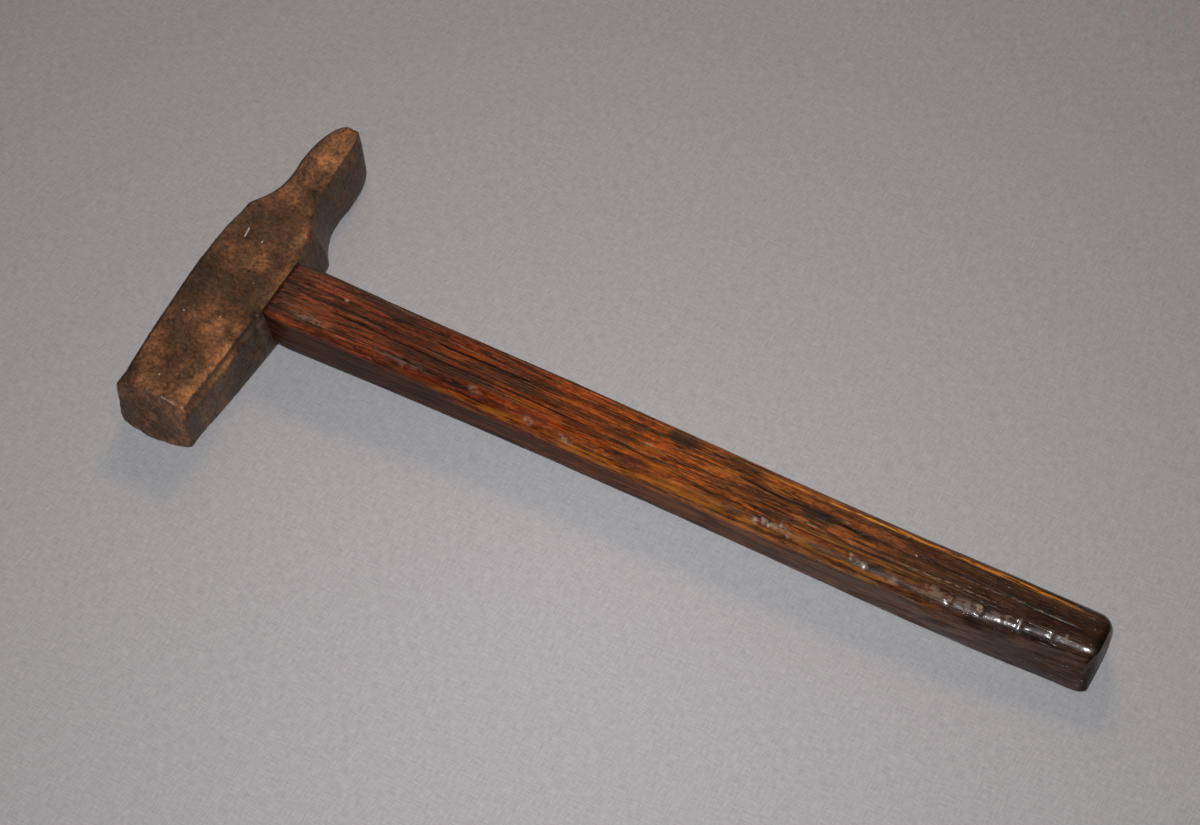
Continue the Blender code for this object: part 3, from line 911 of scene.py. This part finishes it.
def steel_material():
    """Forged steel under an old mottled rust patina."""
    t = Tree("rusty_forged_steel")
    patch = t.noise(0.015, detail=5.0, rough=0.6, warp=0.5, shift=2.0)
    mottle = t.noise(0.0050, detail=6.0, rough=0.62, warp=0.9, shift=5.0)
    grit = t.noise(0.0012, detail=5.0, rough=0.70, shift=8.0)
    blend = t.math("ADD", t.times(patch, 0.56), t.times(mottle, 0.44))
    # The stored tone holds random tan and dark places, with painted shade on the sides and painted light on
    # the striking face.
    blend = t.math("ADD", blend, t.times(t.stored("tone_and_facing_shade"), 0.085))
    colour = t.ramp(blend, *PATINA)
    olive = t.span(t.noise(0.010, detail=4.0, shift=14.0), 0.48, 0.60)
    colour = t.mix(t.times(olive, 0.35), colour, OLIVE_RUST)
    # Painted shade: the near side and the striking face are greyed by their facing.
    colour = t.mix(t.times(t.stored("flank"), 0.6), colour, GREY_FACING_SHADE)
    soot = t.span(t.noise(0.0030, detail=6.0, rough=0.70, warp=1.2, shift=30.0), 0.54, 0.62)
    colour = t.mix(t.times(soot, 0.5), colour, SOOT)
    colour = t.shade(colour, t.span(grit, 0.38, 0.62, 0.60, 1.34))
    colour = t.mix(t.times(t.stored("pit"), 0.75), colour, PIT_RUST)
    worn = t.times(t.stored("edge"), t.span(t.noise(0.0035, shift=21.0), 0.42, 0.6))
    colour = t.mix(t.times(worn, 0.3), colour, WORN_STEEL)
    bare = t.span(t.stored("bright"), 0.25, 0.7)
    colour = t.mix(bare, colour, BARE_STEEL)
    roughness = t.math("SUBTRACT", t.span(mottle, 0.3, 0.7, 0.30, 0.46), t.times(bare, 0.10))
    relief = t.math("ADD", t.times(grit, 0.7), t.times(mottle, 1.1))
    return t.finish(
        Base_Color=colour, Roughness=roughness, Metallic=t.times(bare, 0.6), Specular_IOR_Level=0.34,
        Normal=t.bump(relief, 0.0004, 0.9),
    )


def upper_wood(t, along, grain):
    """The wood's own colour, with dark and golden streaks along the grain."""
    zone = t.ramp(along, *UPPER_WOOD)
    colour = t.shade(zone, t.span(grain["streaks"], 0.42, 0.60, 0.50, 1.50))
    colour = t.shade(colour, t.span(grain["fine"], 0.42, 0.56, 0.72, 1.12))
    colour = t.shade(colour, t.span(grain["fleck"], 0.38, 0.62, 0.60, 1.36))
    gold = t.span(t.noise((0.022, 0.0024, 0.0024), detail=5.0, rough=0.65, shift=17.0), 0.53, 0.60)
    return t.mix(t.times(gold, 0.6), colour, t.mix(1.0, zone, GOLDEN, "MULTIPLY"))


def open_grain(t, colour, grain):
    """Dark early wood, pores and fine checks, drawn over a colour."""
    phase = t.math("FRACT", t.math("DIVIDE", t.stored("ring"), RING_WIDTH))
    bold = t.span(t.noise((0.09, 0.004, 0.004), shift=23.0), 0.40, 0.56, 0.15, 1.0)
    early = t.times(t.span(phase, 0.0, 0.08), t.span(phase, 0.5, 0.14), bold)
    checks = t.times(t.grain_line(37.0, 0.045, 0.0030), t.span(grain["streaks"], 0.60, 0.42))
    dashes = t.span(t.noise((0.0050, 0.00055, 0.00055), detail=1.0, shift=29.0), 0.60, 0.63)
    dashes = t.times(dashes, t.math("ADD", t.times(early, 0.5), 0.2))
    colour = t.mix(t.times(early, 0.3), colour, EARLY_WOOD)
    colour = t.mix(t.times(grain["pores"], 0.85), colour, PORE)
    colour = t.mix(t.times(checks, 0.8), colour, CHECK)
    colour = t.mix(dashes, colour, CHECK)
    return t.mix(t.times(t.stored("groove"), 0.3), colour, GROOVE)


def sides_and_edges(t, colour, along, grain):
    """Painted shade on the sides, a painted lit golden band along the near one and painted amber glints along
    the far upper edge.
    """
    x, y, z = t.axis("X"), t.axis("Y"), t.axis("Z")
    streaks = grain["streaks"]
    # Painted shade: the near side below a border height, and the far side, take the darker side colour.
    border = t.math("ADD", t.span(x, 0.020, 0.085, 0.0164, 0.0112), t.times(streaks, 0.004))
    above = t.math("SUBTRACT", t.math("ADD", z, 0.002), border)
    near = t.times(t.span(above, 0.0010, -0.0010), t.span(y, -0.0050, -0.0065))
    side = t.math("MAXIMUM", near, t.span(y, 0.0094, 0.0108))
    lines = t.times(t.span(streaks, 0.42, 0.60, 0.6, 1.5), t.span(grain["fine"], 0.42, 0.56, 0.75, 1.1))
    colour = t.mix(t.times(side, 0.85), colour, t.shade(t.ramp(along, *SIDE_SHADE_WOOD), lines))
    # Painted light: a streaky golden band over the lit rounded upper part of the near side, just above the
    # painted shade.
    height = t.times(t.span(above, -0.0002, 0.0010), t.span(above, 0.0046, 0.0028))
    reach = t.times(t.span(x, 0.05, 0.09), t.span(x, 0.25, 0.215))
    band = t.times(height, t.span(y, -0.0050, -0.0070), reach, t.span(streaks, 0.44, 0.54))
    colour = t.mix(t.times(band, 0.7), colour, LIT_GOLD_BAND)
    # Painted glints: broken amber streaks along the far upper edge, where the varnish reflects the warm lamp.
    edge = t.times(t.span(y, 0.0068, 0.0075), t.span(y, 0.0087, 0.0080))
    reach = t.times(t.span(x, 0.165, 0.20), t.span(x, 0.284, 0.262))
    glint = t.span(t.noise((0.009, 0.0008, 0.0008), detail=3.0, shift=19.0), 0.44, 0.54)
    return t.mix(t.times(edge, reach, glint, 0.85), colour, AMBER_GLINT)


def wear_and_dirt(t, colour):
    """Stains, grime, pale scuffs and open cracks, over a colour."""
    colour = t.mix(t.times(t.stored("stain"), 0.9), colour, STAIN)
    grime = t.span(t.noise((0.020, 0.004, 0.004), detail=6.0, rough=0.7, shift=33.0), 0.52, 0.60)
    colour = t.mix(t.times(grime, 0.5), colour, GRIME)
    broken = t.span(t.noise((0.0016, 0.0012, 0.0012), detail=4.0, shift=39.0), 0.38, 0.54)
    colour = t.mix(t.times(t.stored("scuff"), broken, 0.75), colour, SCUFF)
    return t.mix(t.stored("crack"), colour, CRACK)


def end_grain(t, fleck):
    """Aged end grain in the eye: the tenon's, or the wedge's darker one."""
    tenon = t.shade(END_GRAIN, t.span(fleck, 0.38, 0.62, 0.7, 1.3))
    return t.mix(t.times(t.stored("groove"), 0.6), tenon, WEDGE_GRAIN)


def handle_material():
    """Ring-porous hardwood, stained and handled to a gloss, dark at the butt."""
    t = Tree("handled_hardwood")
    x = t.axis("X")
    grain = {
        "streaks": t.noise((0.020, 0.0021, 0.0021), detail=6.0, rough=0.70, warp=0.3, shift=7.0),
        "fine": t.noise((0.012, 0.00055, 0.00055), detail=2.0, rough=0.6, shift=11.0),
        "fleck": t.noise((0.0026, 0.0010, 0.0010), detail=4.0, rough=0.72, shift=13.0),
        "pores": t.grain_line(27.0, 0.110, 0.0036),
    }
    drift = t.math("SUBTRACT", t.times(t.noise((0.030, 0.006, 0.006), shift=3.0), 0.24), 0.12)
    along = t.math("ADD", t.math("DIVIDE", x, cad_high.x), drift)
    colour = upper_wood(t, along, grain)
    colour = open_grain(t, colour, grain)
    colour = sides_and_edges(t, colour, along, grain)
    colour = wear_and_dirt(t, colour)
    in_eye = t.span(x, -0.004, -0.010)
    colour = t.mix(t.times(in_eye, 0.8), colour, end_grain(t, grain["fleck"]))
    at_end = t.span(x, 0.2835, 0.2855)
    colour = t.shade(colour, t.math("SUBTRACT", 1.0, t.times(at_end, 0.6)))
    roughness = t.span(t.noise((0.012, 0.002, 0.002), detail=5.0, shift=45.0), 0.35, 0.65, 0.28, 0.44)
    rubbed = t.span(t.noise((0.010, 0.002, 0.002), shift=51.0), 0.36, 0.52)
    polish = t.times(t.span(x, 0.12, 0.26), t.math("SUBTRACT", 1.0, at_end), rubbed)
    shallow = t.math("SUBTRACT", t.times(grain["fine"], 0.4), t.times(grain["pores"], 0.5))
    relief = t.math("ADD", t.times(grain["fleck"], 0.5), shallow)
    knocks = t.noise((0.0040, 0.0024, 0.0024), detail=4.0, rough=0.6, shift=57.0)
    scratches = t.grain_line(61.0, 0.060, 0.0020)
    varnish = t.math("SUBTRACT", t.times(knocks, 0.6), t.times(scratches, 0.25))
    return t.finish(
        Base_Color=colour, Roughness=roughness, Specular_IOR_Level=0.2,
        Coat_Weight=t.math("ADD", t.times(polish, 0.95), 0.05), Coat_Roughness=0.17,
        Normal=t.bump(relief, 0.0003, 0.6), Coat_Normal=t.bump(varnish, 0.0003, 0.7),
    )


# ------------------------------ stage

AIM = (0.4346, 0.585)         # the camera's aim, as fractions of the box along X and Y
CAMERA_AZIMUTH = math.radians(27.76)
CAMERA_PITCH = math.radians(53.77)
CAMERA_DISTANCE = 1.0695
CAMERA_LENS = 105.0
FLASH_SHIFT = Vector((0.02, -0.06, 0.0))      # the flash points at a place beside the aim
FLOOR_HALF = 2.0
FLOOR_DARK = (0.405, 0.405, 0.425)
FLOOR_PALE = (0.54, 0.54, 0.56)


def place_at(made, aim, azimuth, pitch, distance):
    """Put a light or camera at a distance from the aim, turned towards it, and link it."""
    level = math.cos(pitch)
    away = Vector((math.sin(azimuth) * level, -math.cos(azimuth) * level, math.sin(pitch)))
    made.location = aim + away * distance
    made.rotation_euler = away.to_track_quat("Z", "Y").to_euler()
    bpy.context.scene.collection.objects.link(made)


def add_camera(aim):
    """The camera, turned to the aim."""
    data = bpy.data.cameras.new("camera")
    data.lens = CAMERA_LENS
    data.sensor_width = 36.0
    made = bpy.data.objects.new("camera", data)
    place_at(made, aim, CAMERA_AZIMUTH, CAMERA_PITCH, CAMERA_DISTANCE)
    bpy.context.scene.camera = made


def add_light(name, aim, azimuth, pitch, distance, size, power, colour, spread=180.0):
    """A round light, placed by angles in degrees and a distance in metres."""
    data = bpy.data.lights.new(name, "AREA")
    data.shape = "DISK"
    data.spread = math.radians(spread)
    data.size = size
    data.energy = power
    data.color = colour
    place_at(bpy.data.objects.new(name, data), aim, math.radians(azimuth), math.radians(pitch), distance)


def add_floor():
    """A plain pale floor with a faint weave."""
    centre = (cad_low + cad_high) / 2.0
    spread = ((-1, -1), (1, -1), (1, 1), (-1, 1))
    corners = [(centre.x + a * FLOOR_HALF, centre.y + b * FLOOR_HALF, cad_low.z) for a, b in spread]
    mesh = bpy.data.meshes.new("floor")
    mesh.from_pydata(corners, [], [(0, 1, 2, 3)])
    floor = bpy.data.objects.new("floor", mesh)
    bpy.context.scene.collection.objects.link(floor)
    t = Tree("pale_floor")
    weft = t.noise((0.004, 0.0005, 0.001), detail=2.0)
    warp = t.noise((0.0005, 0.004, 0.001), detail=2.0, shift=4.0)
    weave = t.math("ADD", t.times(weft, 0.5), t.times(warp, 0.5))
    colour = t.ramp(weave, (0.36, FLOOR_DARK), (0.64, FLOOR_PALE))
    mesh.materials.append(t.finish(Base_Color=colour, Roughness=0.9, Normal=t.bump(weave, 0.0002, 0.3)))


def set_stage():
    """Camera, a small strong light beside it, two weak warm lights behind, and the floor."""
    size = cad_high - cad_low
    aim = Vector((cad_low.x + size.x * AIM[0], cad_low.y + size.y * AIM[1], cad_low.z))
    bpy.context.scene.view_settings.view_transform = "Standard"
    add_camera(aim)
    add_light(
        "flash", aim + FLASH_SHIFT, azimuth=27.0, pitch=60.0, distance=1.0, size=0.05, power=0.78,
        colour=(1.0, 0.988, 0.996), spread=60.0,
    )
    add_light(
        "lamp", aim, azimuth=200.0, pitch=40.0, distance=1.3, size=0.22, power=2.4,
        colour=(1.0, 0.60, 0.25),
    )
    add_light(
        "room", aim, azimuth=216.0, pitch=32.0, distance=1.6, size=0.6, power=1.8,
        colour=(1.0, 0.93, 0.86),
    )
    world = bpy.data.worlds.new("soft_room")
    world.use_nodes = True
    background = world.node_tree.nodes["Background"]
    background.inputs["Color"].default_value = (0.9, 0.95, 1.0, 1.0)
    background.inputs["Strength"].default_value = 0.05
    bpy.context.scene.world = world
    add_floor()


set_stage()
make_head()
make_handle()
make_wooden_wedge()
make_steel_wedge()
